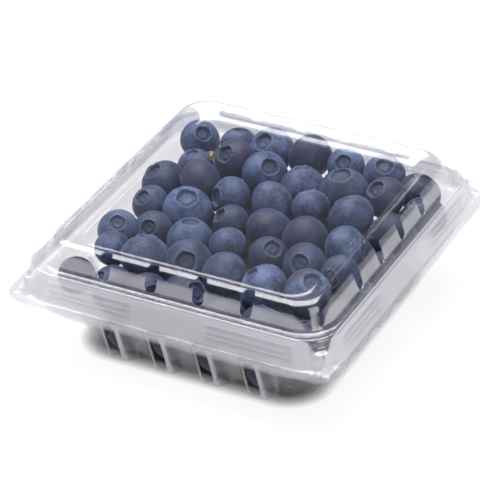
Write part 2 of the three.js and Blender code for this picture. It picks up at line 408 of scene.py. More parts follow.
# %% The tray's skin
TRAY_FACE = RIM - HALF_GAP - FILM
TRAY_CORNERS = [
    (50.0, 1.5, 3.0, 0),
    (26.0, 1.5, 5.0, 0),
    (24.6, 0.05, 6.0, 0),
    (19.6, 0.0, 7.8, RIB_DEPTH),
    (18.2, 1.0, 8.6, RIB_DEPTH),
    (17.6, 3.0, 9.0, RIB_DEPTH),
    (12.6, 18.3, 12.0, RIB_DEPTH),
    (8.0, 18.3, 15.5, 0),
    (5.6, 18.3, 17.0, 0),
    (4.7, 18.9, 17.0, 0),
    (3.5, TRAY_FACE - 0.3, 14.5, 0),
    (2.8, TRAY_FACE, 13.5, 0),
    (0.0, TRAY_FACE, 8.0, 0),
]
TRAY_BEND, TRAY_WALL_STEP, TRAY_CORNER_STEPS, FLOOR_INSET = 0.9, 1.1, 16, 26.0
tray_places = [tray_marks(0), tray_marks(1)]
tray_points = soften(TRAY_CORNERS, TRAY_BEND)
floor_part = [p for p in tray_points if p[0] >= FLOOR_INSET]
wall_part = [p for p in tray_points if p[0] < FLOOR_INSET]
floor_points = divide(floor_part[::-1], PANEL_STEP)[::-1]
wall_points = divide([floor_points[-1]] + wall_part, TRAY_WALL_STEP)[1:]
tray_profile = floor_points + wall_points
tray_rings = [tray_ring(*p, tray_places, TRAY_CORNER_STEPS) for p in tray_profile][::-1]
tray_skin = loft("tray_film", tray_rings, False)
print("tray", len(tray_rings), "rings of", len(tray_rings[0]))

# %% [markdown]
# ## Thickness and openings
#
# Solidify gives each skin the thickness of the film, inwards from its outer face. Then the slots
# over the lid's crest and the vents in the tray's ribs are cut. The cutter of a slot is where two
# round-ended openings meet: one seen from the side and one seen from above.

# %% Cutters
SLOT_WIDTH = 4.2
SLOT_INNER, SLOT_OUTER, SLOT_LOW = 13.0, 5.5, 34.7
SLOT_REACH_INNER, SLOT_REACH_OUTER = 15, 4
ABOVE_SIDE_CUT, ABOVE_PLAN_CUT, BELOW_PLAN_CUT = 8, 3, 2
VENT_LOW, VENT_HIGH, VENT_INNER, VENT_OUTER = 2.6, 17.2, 17, 6.4
ROUND_STEPS = 10


def stadium(width, low, high):
    """Outline of a round-ended opening, as (across, along) pairs."""
    half = width / 2
    points = []
    for end, start in ((high - half, 0.0), (low + half, math.pi)):
        for k in range(ROUND_STEPS + 1):
            angle = start + math.pi * k / ROUND_STEPS
            points.append((half * math.cos(angle), end + half * math.sin(angle)))
    return points


def prism(name, outline, low, high, upright):
    """Closed block from an outline: upright stands it on Z, otherwise it runs along X."""
    data = bpy.data.meshes.new(name)
    points = []
    for level in (low, high):
        for across, along in outline:
            at = (along, across, level) if upright else (level, across, along)
            points.append(Vector(at) * MM)
    count = len(outline)
    faces = [tuple(range(count)), tuple(range(count, 2 * count))[::-1]]
    faces += [(i, i + count, (i + 1) % count + count, (i + 1) % count) for i in range(count)]
    data.from_pydata(points, [], faces)
    shape = bmesh.new()
    shape.from_mesh(data)
    bmesh.ops.recalc_face_normals(shape, faces=shape.faces)
    shape.to_mesh(data)
    shape.free()
    return add_object(name, data)


def apply_modifiers(piece):
    """Bake the modifiers of a piece into its mesh."""
    bpy.context.view_layer.update()
    graph = bpy.context.evaluated_depsgraph_get()
    shown = piece.evaluated_get(graph)
    final = bpy.data.meshes.new_from_object(shown, preserve_all_data_layers=True, depsgraph=graph)
    piece.modifiers.clear()
    piece.data = final


def boolean(piece, other, operation):
    """Cut a piece with another, or keep only what they share."""
    step = piece.modifiers.new("cut", "BOOLEAN")
    step.object = other
    step.operation = operation
    step.solver = "EXACT"
    apply_modifiers(piece)


def four_sides(cutter_of, name):
    """One mesh with a cutter at every place on the four sides."""
    data = bpy.data.meshes.new(name)
    shape = bmesh.new()
    for side in range(4):
        cutter = cutter_of(side_sizes(side)[0])
        for m in middles:
            place = Matrix.Rotation(side * math.pi / 2, 4, "Z")
            place = place @ Matrix.Translation((0, m * PITCH[side % 2] * MM, 0))
            copy = cutter.data.copy()
            copy.transform(place)
            shape.from_mesh(copy)
        bpy.data.objects.remove(cutter)
    shape.to_mesh(data)
    shape.free()
    return add_object(name, data)


def slot_cutter(half):
    """The opening over the crest, round-ended both from the side and from above."""
    side = stadium(SLOT_WIDTH, SLOT_LOW, CREST + ABOVE_SIDE_CUT)
    wall = prism("slot", side, half - SLOT_REACH_INNER, half - SLOT_REACH_OUTER, False)
    plan = stadium(SLOT_WIDTH, half - SLOT_INNER, half - SLOT_OUTER)
    above = prism("plan", plan, SLOT_LOW - BELOW_PLAN_CUT, CREST + ABOVE_PLAN_CUT, True)
    boolean(wall, above, "INTERSECT")
    bpy.data.objects.remove(above)
    return wall


def vent_cutter(half):
    """The upright opening in the face of a rib."""
    outline = stadium(SLOT_WIDTH, VENT_LOW, VENT_HIGH)
    return prism("vent", outline, half - VENT_INNER, half - VENT_OUTER, False)


def thicken(piece):
    """Give a skin the film's thickness, inwards from its outer face."""
    step = piece.modifiers.new("film", "SOLIDIFY")
    step.thickness = FILM * MM
    step.offset = -1.0
    step.use_even_offset = False
    step.use_rim = True
    apply_modifiers(piece)


def smooth(piece, degrees):
    """Smooth shading with hard edges where the surface turns by more than that."""
    shape = bmesh.new()
    shape.from_mesh(piece.data)
    for face in shape.faces:
        face.smooth = True
    for edge in shape.edges:
        turn = edge.calc_face_angle(math.pi) if len(edge.link_faces) == 2 else math.pi
        edge.smooth = turn < math.radians(degrees)
    shape.to_mesh(piece.data)
    shape.free()


# %% [markdown]
# ## The space that the berries may fill
#
# Before the openings are cut, the two skins are joined into one closed search tree. The berries
# are packed against it, so they lie against the film and never pass through it.

# %% Search tree of the inside
walls_points, walls_faces = [], []
for skin in (tray_skin, lid_skin):
    start = len(walls_points)
    walls_points += [v.co.copy() for v in skin.data.vertices]
    walls_faces += [tuple(start + i for i in p.vertices) for p in skin.data.polygons]
walls_tree = BVHTree.FromPolygons(walls_points, walls_faces)
print("search tree of", len(walls_faces), "faces")

# %% [markdown]
# ## Making the openings
#
# Both skins get their thickness first, so that the cut edges of the openings show it. Edges that
# turn sharply are kept hard, and all others are shaded smooth.

# %% Thickness, slots and vents
SHARP_FILM = 38
for skin, cutter_of in ((lid_skin, slot_cutter), (tray_skin, vent_cutter)):
    thicken(skin)
    cutters = four_sides(cutter_of, "openings")
    boolean(skin, cutters, "DIFFERENCE")
    bpy.data.objects.remove(cutters)
    smooth(skin, SHARP_FILM)
    print(skin.name, len(skin.data.polygons), "faces after its openings")

# %% [markdown]
# ## Berries: the ones on top
#
# The top layer shows most. Round fruit shaken level lies in loose staggered rows, so the berries
# start that way across the pack and are then scattered by a seeded random draw, each with its own
# size. The layer falls away towards the front and right walls, where the lid slopes in, and into a
# hollow along the left. About two in three turn their crown up, where it can be seen. The crown is
# the ragged star at the end that the flower left.

# %% Top layer
TOP_COLUMNS, TOP_ROWS = np.linspace(-40, 42, 7), np.linspace(-43, 48, 7)
ROW_SHIFT, SCATTER = 3.0, 1.8
TOP_LEVEL, WALL_FALL, HOLLOW_FALL = 30.0, 4.0, 4.5
CROWN_UP_SHARE = 0.65
FALL_START, FALL_RUN = 30, 14
HOLLOW_START, HOLLOW_RUN = 25, 16
TOP_SIZES, TOP_UNEVEN = (5.8, 8.2), (-1.5, 1.0)
scatter = np.random.default_rng(12)


def top_level(x, y):
    """Height of a top berry's middle: full in the middle, lower by the walls and the hollow."""
    front, right = max(-FALL_START - y, 0) / FALL_RUN, max(x - FALL_START, 0) / FALL_RUN
    left = max(-x - HOLLOW_START, 0) / HOLLOW_RUN
    return TOP_LEVEL - WALL_FALL * (front + right) - HOLLOW_FALL * left


def top_berry(column, row):
    """One berry of the top layer: x, y, z, radius, and the way its crown faces, or None."""
    shift = ROW_SHIFT if row % 2 else -ROW_SHIFT
    x = TOP_COLUMNS[column] + shift + scatter.uniform(-SCATTER, SCATTER)
    y = TOP_ROWS[row] + scatter.uniform(-SCATTER, SCATTER)
    z = top_level(x, y) + scatter.uniform(*TOP_UNEVEN)
    radius = scatter.uniform(*TOP_SIZES)
    crown = (scatter.uniform(-0.6, 0.6), scatter.uniform(-0.8, 0.3), scatter.uniform(0.5, 1.0))
    return x, y, z, radius, crown if scatter.random() < CROWN_UP_SHARE else None


TOP_BERRIES = [top_berry(i, j) for j in range(len(TOP_ROWS)) for i in range(len(TOP_COLUMNS))]
print(len(TOP_BERRIES), "berries laid out on top")

# %% [markdown]
# ## Berries: packing the rest
#
# The others fill the tray below. They start in two loose layers and then settle, as berries do when
# a punnet is shaken: each one sinks a little, pushes its neighbours apart where they overlap, and
# is pushed back by the film. A dark lump in the middle, coloured as painted shade, stands in for
# the shadowed berries that nobody can see.

# %% Settle the berries
LOW_X = [(x, y) for y in (-40.5, 40.5) for x in (-24.75, -8.25, 8.25, 24.75)]
LOW_Y = [(x, y) for x in (-37.0, 37.0) for y in (-27.0, -9.0, 9.0, 27.0)]
LOW_LEVEL, MIDDLE_LEVEL = 8.8, 19.5
MIDDLE_X, MIDDLE_Y = np.linspace(-36, 38, 6), np.linspace(-41, 41, 6)
ROUNDS = 520
TRIM_START, TRIM_EVERY, TOO_DEEP = 220, 10, 1.4
CEILING = 22.5
WALL_GAP = 0.6
FILL_SIZES, FILL_SCATTER = (6.8, 7.7), 1.5
HELD_WEIGHT, PULL_HOME, SINK = 0.35, 0.12, 0.10
PART_SHARE, LUMP_SHARE, LONGEST_MOVE, SQUASH = 0.55, 0.5, 1.2, 0.96
TINY, FAR = 1e-6, 1e6
draw = np.random.default_rng(5)
CORE_TIERS = [
    (np.array([0.5, 0.0, 9.5]), np.array([29.0, 33.0, 7.3])),
    (np.array([3.0, 1.0, 14.5]), np.array([30.0, 36.0, 5.0])),
]


def box_reach(away):
    """How far out a point is, as a share, in a block with rounded corners."""
    plan = (away[..., 0] ** 4 + away[..., 1] ** 4) ** 0.5
    return np.maximum((plan + away[..., 2] ** 2) ** 0.5, TINY)


def lump_push(places, radii):
    """Moves that keep berries off the dark core."""
    moves = np.zeros_like(places)
    for centre, size in CORE_TIERS:
        away = (places - centre) / (size + radii[:, None])
        reach = box_reach(away)
        inside = np.maximum(1.0 - reach, 0.0)
        moves += away / reach[:, None] * inside[:, None] * (size + radii[:, None])
    return moves


def wall_push(places, radii):
    """Moves that keep berries off the film."""
    moves = np.zeros_like(places)
    for k, (place, radius) in enumerate(zip(places, radii)):
        near, normal, _, distance = walls_tree.find_nearest(Vector(place) * MM)
        off = np.array(place) - np.array(near) / MM
        outside = float(off @ np.array(normal)) > 0
        reach = distance / MM
        need = radius + WALL_GAP
        if outside:
            moves[k] = -off / max(reach, TINY) * (reach + need)
        elif reach < need:
            moves[k] = off / max(reach, TINY) * (need - reach)
    return moves


def pair_push(places, radii, weight):
    """Moves that part overlapping berries, and the deepest overlap."""
    between = places[:, None] - places[None]
    reach = np.linalg.norm(between, axis=2) + np.eye(len(places)) * FAR
    need = (radii[:, None] + radii[None]) * SQUASH
    overlap = np.maximum(need - reach, 0.0)
    share = weight[:, None] / (weight[:, None] + weight[None])
    moves = (between / reach[:, :, None]) * (overlap * share)[:, :, None]
    return moves.sum(axis=1), overlap.max(axis=1)


chosen = np.array([b[:3] for b in TOP_BERRIES], float)
top_radii = np.array([b[3] for b in TOP_BERRIES], float)
low_places = [(x, y, LOW_LEVEL) for x, y in LOW_X + LOW_Y]
middle_places = [(x, y, MIDDLE_LEVEL) for x in MIDDLE_X for y in MIDDLE_Y]
fill_places = np.array(low_places + middle_places)
fill_places[len(low_places):] += draw.uniform(
    -FILL_SCATTER, FILL_SCATTER, (len(middle_places), 3))
fill_radii = draw.uniform(*FILL_SIZES, len(fill_places))
aims = np.vstack([chosen, fill_places])
places = np.vstack([chosen, fill_places])
radii = np.concatenate([top_radii, fill_radii])
held = np.arange(len(radii)) < len(chosen) + len(low_places)
weight = np.where(held, HELD_WEIGHT, 1.0)
for turn in range(ROUNDS):
    loose_share = 1.0 - turn / ROUNDS
    move = np.zeros_like(places)
    move[held] += (aims - places)[held] * PULL_HOME
    move[~held, 2] -= SINK * loose_share
    parted, deepest = pair_push(places, radii, weight)
    move += parted * PART_SHARE + lump_push(places, radii) * LUMP_SHARE
    places += np.clip(move, -LONGEST_MOVE, LONGEST_MOVE)
    places += wall_push(places, radii)
    places[~held, 2] = np.minimum(places[~held, 2], CEILING)
    spare = np.where(held, 0.0, deepest)
    if turn > TRIM_START and turn % TRIM_EVERY == 0 and spare.max() > TOO_DEEP:
        keep = np.arange(len(radii)) != int(spare.argmax())
        places, radii, aims = places[keep], radii[keep], aims[keep]
        held, weight = held[keep], weight[keep]
between = np.linalg.norm(places[:, None] - places[None], axis=2) + np.eye(len(places)) * FAR
deep = (radii[:, None] + radii[None] - between)
print(len(radii), "berries settled, deepest overlap", round(float(deepest.max()), 2), "mm")
print("pairs deeper than 1 mm", int((deep > 1).sum() / 2), "than 2 mm", int((deep > 2).sum() / 2))
moved = np.abs(places - aims)[held]
print("held berries moved by", round(float(moved.max()), 2), "mm at most")

# %% [markdown]
# ## The shape of one berry
#
# A blueberry is a slightly flattened ball, a little lumpy, with a crown at one end and a small
# stalk scar at the other. The crown is a shallow dish with a raised, five-lobed rim of short dry
# sepals, a fine ring inside, and a dot where the flower's style stood. All of that is a height
# added to a ball, so one grid of points carries it. The same numbers are kept as attributes, so
# that the skin's material knows where the crown is.

# %% Berry shape
CROWN_SHARES = (0, 0.04, 0.09, 0.15, 0.19, 0.23, 0.28, 0.31,
                0.34, 0.37, 0.4, 0.43, 0.46, 0.5, 0.57, 0.67)


def smooth_step(low, high, value):
    t = np.clip((value - low) / (high - low), 0, 1)
    return t * t * (3 - 2 * t)


def berry_grid(around, body_rings, step):
    """Angles from the crown's middle, and angles round it, for every point."""
    crown = [math.asin(s) for s in CROWN_SHARES[::step]]
    body = list(np.linspace(crown[-1], math.pi, body_rings + 2)[1:])
    polar = np.array(crown + body)
    turn = np.linspace(0, 2 * math.pi, around, endpoint=False)
    return np.meshgrid(polar, turn, indexing="ij")


def berry_points(polar, turn, draw):
    """Points of one berry of radius 1, crown upwards, with how much each belongs to the crown."""
    phase = draw.uniform(0, 2 * math.pi, 8)
    flat = draw.uniform(0.84, 0.93)
    across = np.sin(polar)
    lumps = 1 + 0.018 * across * np.cos(2 * turn + phase[0])
    lumps += 0.012 * across * np.cos(3 * turn + phase[1] + polar)
    lumps += 0.010 * np.cos(3 * polar + phase[2]) * np.cos(turn + phase[3])
    x = across * np.cos(turn) * lumps
    y = across * np.sin(turn) * lumps
    z = flat * np.cos(polar) * (1 + 0.01 * np.cos(2 * polar + phase[4]))

    crown_size = draw.uniform(0.37, 0.45)
    depth = draw.uniform(0.12, 0.20)
    height = draw.uniform(0.015, 0.045)
    star = draw.uniform(0.01, 0.055)
    wave = np.cos(5 * turn + phase[5] + 0.6 * np.sin(2 * turn + phase[6]))
    ragged = 0.5 * np.cos(11 * turn + phase[7]) + 0.4 * np.cos(16 * turn + phase[1])
    lobe = 0.5 + 0.5 * wave
    rim = crown_size * (1 + star * wave + 0.040 * ragged)
    upper = polar < 1.2
    share = across / rim
    dish = smooth_step(1.0, 0.80, share) * upper
    lip = np.exp(-((share - 1.05) / 0.085) ** 2) * upper
    ring_line = np.exp(-((across - 0.46 * crown_size) / 0.028) ** 2) * upper
    dot = np.exp(-(across / 0.045) ** 2) * upper
    furrow = np.cos(10 * turn + phase[3]) * smooth_step(0.1, 0.25, across) * dish
    z = z - depth * dish + height * (0.5 + 0.9 * lobe * (1 + 8 * star) + 0.6 * ragged) * lip
    z = z + 0.028 * ring_line - 0.03 * dot + 0.010 * furrow
    scar = np.exp(-(across / 0.12) ** 2) * (polar > 2.4)
    z = z + 0.05 * scar
    points = np.stack([x, y, z], axis=-1)
    return points, dish, lip, scar


def berry_faces(rows, around):
    """Faces of a ball with rows of points between its two ends: fans at the ends, then quads."""
    last = (rows - 2) * around + 1
    faces = []
    for i in range(around):
        after = (i + 1) % around
        faces.append((0, 1 + i, 1 + after))
        faces.append((last, last - around + after, last - around + i))
        for k in range(rows - 3):
            a, b = 1 + k * around + i, 1 + k * around + after
            faces.append((a, a + around, b + around, b))
    return faces


def without_repeats(grid):
    """The grid's values with each end reduced to one point."""
    middle = grid[1:-1].reshape((-1,) + grid.shape[2:])
    return np.concatenate([grid[0, :1], middle, grid[-1, :1]])


fine = berry_grid(46, 13, 1)
coarse = berry_grid(26, 8, 2)
print("a fine berry has", fine[0].size, "points, a coarse one", coarse[0].size)

# %% [markdown]
# ## The heap of berries
#
# All berries become one mesh at true size, because they are one kind of thing and none of them
# moves on its own. Each keeps a tone of its own: how much pale bloom its skin still carries, and
# whether it leans to blue or to purple. Those against the front and right walls keep little bloom,
# which darkens them as painted shade for the shadow they lie in behind the crest.

# %% Build the heap
# Where the painted shade on berries by the front and right walls begins, and the bloom they keep.
SHADED_FRONT, SHADED_RIGHT, WALL_SHADE_SHARE = -33, 38, 0.15


def turn_to(direction, draw):
    """Rotation that points a berry's crown along a direction, turned at random about it."""
    spin = Matrix.Rotation(draw.uniform(0, 2 * math.pi), 3, "Z")
    return (Vector(direction).to_track_quat("Z", "Y").to_matrix() @ spin)


def any_direction(draw):
    """A direction with no leaning, as a unit vector."""
    vector = draw.normal(size=3)
    return vector / np.linalg.norm(vector)


all_points, all_faces = [], []
fields = {"crown_dish": [], "crown_lip": [], "stalk_scar": [], "bloom_share": [], "warmth": []}
directions = [b[4] for b in TOP_BERRIES] + [None] * (len(radii) - len(chosen))
first = 0
for place, radius, direction in zip(places, radii, directions):
    grid = fine if len(all_points) < len(chosen) else coarse
    shape, dish, lip, scar = berry_points(*grid, draw)
    facing = any_direction(draw) if direction is None else direction
    turned = without_repeats(shape) @ np.array(turn_to(facing, draw)).T
    all_points.append((turned * radius + place) * MM)
    faces = berry_faces(*grid[0].shape)
    all_faces += [tuple(first + i for i in face) for face in faces]
    count = len(turned)
    first += count
    fields["crown_dish"].append(without_repeats(dish))
    fields["crown_lip"].append(without_repeats(lip))
    fields["stalk_scar"].append(without_repeats(scar))
    # Painted shade: berries against the front and right walls keep little bloom, so they read dark.
    by_wall = place[1] < SHADED_FRONT or place[0] > SHADED_RIGHT
    rubbed_and_painted_shade = WALL_SHADE_SHARE if by_wall else 1.0
    fields["bloom_share"].append(np.full(count, draw.uniform(0.15, 0.95) * rubbed_and_painted_shade))
    fields["warmth"].append(np.full(count, draw.uniform(0.0, 1.0)))
berries_data = bpy.data.meshes.new("loose_berries")
berries_data.from_pydata(np.concatenate(all_points).tolist(), [], all_faces)
for name, values in fields.items():
    field = berries_data.attributes.new(name, "FLOAT", "POINT")
    field.data.foreach_set("value", np.concatenate(values).astype(np.float32))
berries_data.shade_smooth()
berries = bpy.data.objects.new("loose_berries", berries_data)
bpy.context.scene.collection.objects.link(berries)
triangles = sum(len(p.vertices) - 2 for p in berries_data.polygons)
print(len(radii), "berries in", triangles, "triangles")

# %% [markdown]
# ## The dark core
# Deep inside the heap no light gets through. A lumpy dark solid fills that space, well inside the
# outer berries; its near-black colour is painted shade.

# %% Heap core
LUMP_LENGTH, LUMP_HEIGHT = 2.4, 0.6
core_mesh = bmesh.new()
for centre, size in CORE_TIERS:
    tier = bmesh.ops.create_icosphere(core_mesh, subdivisions=4, radius=1.0)
    for vertex in tier["verts"]:
        way = np.array(vertex.co) / box_reach(np.array(vertex.co))
        at = centre + way * (size - LUMP_HEIGHT)
        waves = math.sin(at[0] / LUMP_LENGTH) * math.sin(at[1] / LUMP_LENGTH + 1)
        lump = waves * LUMP_HEIGHT
        vertex.co = Vector(at + way * lump) * MM
core_data = bpy.data.meshes.new("painted_shade_core")
core_mesh.to_mesh(core_data)
core_mesh.free()
core_data.shade_smooth()
core = bpy.data.objects.new("painted_shade_core", core_data)
bpy.context.scene.collection.objects.link(core)

# %% [markdown]
# ## The folded strip along the back
#
# Lid and tray are one sheet, folded along the back edge. The strip leaves the tray's flange,
# bulges round the fold and comes back as the lid's flange.

# %% Hinge strip
STRIP_HALF, STRIP_FRONT = 49.0, HALF_Y - 0.75
FOLD_STEPS, STRIP_STATIONS, SHARP_STRIP = 12, 25, 40
strip_low, strip_high = RIM - HALF_GAP - FILM / 2, RIM + HALF_GAP + FILM / 2
bend = (strip_high - strip_low) / 2
centre_y = HALF_Y - FILM / 2 - bend
profile = []
for k in range(FOLD_STEPS + 1):
    angle = -math.pi / 2 + math.pi * k / FOLD_STEPS
    profile.append((centre_y + bend * math.cos(angle), RIM + bend * math.sin(angle)))
strip_points, strip_faces = [], []
stations = np.linspace(-STRIP_HALF, STRIP_HALF, STRIP_STATIONS)
for x in stations:
    strip_points += [Vector((x, y, z)) * MM for y, z in profile]
rows = len(profile)
for i in range(len(stations) - 1):
    for k in range(rows - 1):
        a = i * rows + k
        strip_faces.append((a, a + rows, a + rows + 1, a + 1))
strip_data = bpy.data.meshes.new("hinge_strip")
strip_data.from_pydata(strip_points, [], strip_faces)
strip = bpy.data.objects.new("hinge_strip", strip_data)
bpy.context.scene.collection.objects.link(strip)
step = strip.modifiers.new("film", "SOLIDIFY")
step.thickness = FILM * MM
step.offset = 0.0
apply_modifiers(strip)
smooth(strip, SHARP_STRIP)
print("strip", [round(v / MM, 2) for v in strip.dimensions])

# %% [markdown]
# ## Making room for the fold
#
# The strip now stands where the two flanges used to end, so their back edges are drawn in to
# where it begins. Film then meets film, instead of passing through it.

# %% Trim the flanges where the strip takes over
for skin in (lid_skin, tray_skin):
    moved = 0
    for vertex in skin.data.vertices:
        if abs(vertex.co.x) < STRIP_HALF * MM and vertex.co.y > STRIP_FRONT * MM:
            vertex.co.y = STRIP_FRONT * MM
            moved += 1
    print(skin.name, "has", moved, "points drawn back from the fold")

# %% [markdown]
# ## Snap buttons
#
# At each front corner a small dome, pressed into the lid's flange, holds the lid to the tray.
# A dome is a profile turned round its own axis: up the outside, over the top, and back inside.

# %% Snap buttons
BUTTON_RADIUS, BUTTON_RISE, BUTTON_INSET = 1.9, 0.8, 4.1
BUTTON_SIDES, BUTTON_WALL, SHOULDER, SHOULDER_STEPS = 28, 0.3, 0.45, 7
SHARP_BUTTON = 50


def dome_profile(radius, rise):
    """Radius and height from the foot to the middle of a shallow dome with a soft shoulder."""
    angles = np.linspace(0, math.pi / 2, SHOULDER_STEPS)
    foot, start = radius - SHOULDER, rise - SHOULDER
    return [(foot + SHOULDER * math.cos(a), start + SHOULDER * math.sin(a)) for a in angles]


def snap_buttons():
    """Both domes as one mesh: an outer and an inner shell, joined at the foot."""
    outside = [(BUTTON_RADIUS, 0.0)] + dome_profile(BUTTON_RADIUS, BUTTON_RISE)
    inside = [(r - BUTTON_WALL, max(z - BUTTON_WALL, 0.0)) for r, z in outside[::-1]]
    shape = bmesh.new()
    flange_top = RIM + HALF_GAP + FILM
    for side in (-1, 1):
        centre = Vector((side * (HALF_X - BUTTON_INSET), -HALF_Y + BUTTON_INSET, flange_top))
        tip = shape.verts.new((centre + Vector((0, 0, BUTTON_RISE))) * MM)
        rows = []
        for radius, rise in outside[::-1] + inside[::-1]:
            row = []
            for k in range(BUTTON_SIDES):
                turn = 2 * math.pi * k / BUTTON_SIDES
                spot = centre + Vector((radius * math.cos(turn), radius * math.sin(turn), rise))
                row.append(shape.verts.new(spot * MM))
            rows.append(row)
        under = shape.verts.new((centre + Vector((0, 0, BUTTON_RISE - BUTTON_WALL))) * MM)
        for k in range(BUTTON_SIDES):
            after = (k + 1) % BUTTON_SIDES
            shape.faces.new((tip, rows[0][k], rows[0][after]))
            for near, far in zip(rows, rows[1:]):
                shape.faces.new((near[k], far[k], far[after], near[after]))
            shape.faces.new((under, rows[-1][after], rows[-1][k]))
    bmesh.ops.recalc_face_normals(shape, faces=shape.faces)
    data = bpy.data.meshes.new("snap_buttons")
    shape.to_mesh(data)
    shape.free()
    return add_object("snap_buttons", data)


buttons = snap_buttons()
smooth(buttons, SHARP_BUTTON)
print("snap buttons", len(buttons.data.polygons), "faces")

# %% [markdown]
# ## A bit of stalk
#
# One dry bit of stalk has stayed among the berries. It is a short bent twig, a little thicker at
# both ends. It lies in a groove over two neighbouring berries near the back left, where the
# others leave room for it.

# %% Bit of stalk
STALK_NEAR = np.array([-34.0, 34.0, 30.0])
STALK_STEPS = [(-1.9, 0.3), (-0.6, 0.0), (0.7, 0.05), (1.9, 0.45)]
STALK_RADII = [1.0, 0.75, 0.65, 0.95]
STALK_SIDES, STALK_BUMPS, SHARP_STALK = 10, 0.12, 60
PAIRS_FROM, LEAST_ROOM, WIDEST_GAP = 8, 2.2, 1.5


def groove_between(first, second):
    """Where a twig lies in the groove over two berries, the groove's direction, and its room."""
    line = places[second] - places[first]
    apart = float(np.linalg.norm(line))
    line = line / apart
    up = np.array([0.0, 0.0, 1.0]) - line * line[2]
    up = up / np.linalg.norm(up)
    reach = radii[first] + max(STALK_RADII)
    share = (apart ** 2 + radii[first] ** 2 - radii[second] ** 2) / (2 * apart)
    seat = places[first] + line * share + up * math.sqrt(max(reach ** 2 - share ** 2, 0.0))
    room = np.linalg.norm(places - seat, axis=1) - radii
    room[[first, second]] = np.inf
    return seat, np.cross(line, up), up, float(room.min()), apart - radii[first] - radii[second]


nearest = np.argsort(np.linalg.norm(places - STALK_NEAR, axis=1))[:PAIRS_FROM]
grooves = [groove_between(a, b) for k, a in enumerate(nearest) for b in nearest[k + 1:]]
grooves = [g for g in grooves if g[3] > LEAST_ROOM and g[4] < WIDEST_GAP]
seat, along_groove, groove_up, room, _ = min(
    grooves, key=lambda g: float(np.linalg.norm(g[0] - STALK_NEAR)))
print("stalk lies at", seat.round(1), "with", round(room, 2), "mm to the next berry")


def stalk():
    """A bumpy tube along the groove, closed at both ends."""
    path = [Vector(seat + along_groove * a + groove_up * rise) for a, rise in STALK_STEPS]
    points, faces = [], []
    for k, (place, radius) in enumerate(zip(path, STALK_RADII)):
        along = (path[min(k + 1, len(path) - 1)] - path[max(k - 1, 0)]).normalized()
        side = along.cross(Vector((0, 0, 1))).normalized()
        over = side.cross(along)
        for j in range(STALK_SIDES):
            turn = 2 * math.pi * j / STALK_SIDES
            uneven = radius * (1 + STALK_BUMPS * math.sin(3 * turn + k))
            points.append((place + (side * math.cos(turn) + over * math.sin(turn)) * uneven) * MM)
    for k in range(len(path) - 1):
        for j in range(STALK_SIDES):
            a, b = k * STALK_SIDES + j, k * STALK_SIDES + (j + 1) % STALK_SIDES
            faces.append((a, b, b + STALK_SIDES, a + STALK_SIDES))
    faces.append(tuple(range(STALK_SIDES))[::-1])
    last = (len(path) - 1) * STALK_SIDES
    faces.append(tuple(range(last, last + STALK_SIDES)))
    data = bpy.data.meshes.new("stalk_bit")
    data.from_pydata(points, [], faces)
    return add_object("stalk_bit", data)


twig = stalk()
smooth(twig, SHARP_STALK)
print("bit of stalk", [round(v / MM, 2) for v in twig.dimensions])

# %% [markdown]
# ## Clear film
#
# Thin clear film hardly bends light, so straight-through transparency is right for it, and quick
# to render. What makes it visible is gloss: it reflects little when seen square on and a lot at a
# glancing angle, which Layer Weight gives once it is raised to a power. A trace of haze keeps its
# folded edges pale, and a faint waviness breaks up the reflections.

# %% Film material
GLANCE_POWER, GLANCE_GLOSS, LEAST_GLOSS = 4.0, 0.40, 0.045
FILM_TINT, HAZE_TINT = (0.950, 0.949, 0.954, 1), (0.90, 0.90, 0.93, 1)


def node(tree, kind, **inputs):
    """A new node, with its inputs set by name."""
    made = tree.nodes.new(kind)
    for key, value in inputs.items():
        made.inputs[key.replace("_", " ")].default_value = value
    return made


def math_node(tree, operation, first, second):
    made = tree.nodes.new("ShaderNodeMath")
    made.operation = operation
    for slot, value in ((0, first), (1, second)):
        if isinstance(value, (int, float)):
            made.inputs[slot].default_value = value
        else:
            tree.links.new(value, made.inputs[slot])
    return made.outputs[0]


def mix_shader(tree, share, first, second):
    made = tree.nodes.new("ShaderNodeMixShader")
    if isinstance(share, (int, float)):
        made.inputs[0].default_value = share
    else:
        tree.links.new(share, made.inputs[0])
    tree.links.new(first.outputs[0], made.inputs[1])
    tree.links.new(second.outputs[0], made.inputs[2])
    return made


def new_material(name):
    material = bpy.data.materials.new(name)
    material.use_nodes = True
    material.node_tree.nodes.clear()
    return material, material.node_tree


def film_material():
    material, tree = new_material("clear_film")
    place = tree.nodes.new("ShaderNodeTexCoord")
    waves = node(tree, "ShaderNodeTexNoise", Scale=70.0, Detail=2.0, Roughness=0.45)
    tree.links.new(place.outputs["Object"], waves.inputs["Vector"])
    bump = node(tree, "ShaderNodeBump", Strength=0.35, Distance=0.0006)
    tree.links.new(waves.outputs[0], bump.inputs["Height"])
    weight = node(tree, "ShaderNodeLayerWeight", Blend=0.5)
    tree.links.new(bump.outputs[0], weight.inputs["Normal"])
    glance = math_node(tree, "POWER", weight.outputs["Facing"], GLANCE_POWER)
    gloss_share = math_node(tree, "MULTIPLY_ADD", glance, GLANCE_GLOSS)
    gloss_share.node.inputs[2].default_value = LEAST_GLOSS
    clear = node(tree, "ShaderNodeBsdfTransparent", Color=FILM_TINT)
    front = node(tree, "ShaderNodeBsdfDiffuse", Color=HAZE_TINT)
    through = node(tree, "ShaderNodeBsdfTranslucent", Color=HAZE_TINT)
    gloss = node(tree, "ShaderNodeBsdfGlossy", Color=(1, 1, 1, 1), Roughness=0.11)
    tree.links.new(bump.outputs[0], gloss.inputs["Normal"])
    haze = mix_shader(tree, 0.5, front, through)
    frost = tree.nodes.new("ShaderNodeAttribute")
    frost.attribute_name = "frost"
    body = mix_shader(tree, frost.outputs["Fac"], clear, haze)
    film = mix_shader(tree, gloss_share, body, gloss)
    out = tree.nodes.new("ShaderNodeOutputMaterial")
    tree.links.new(film.outputs[0], out.inputs["Surface"])
    return material


film_look = film_material()
print("film nodes", len(film_look.node_tree.nodes))
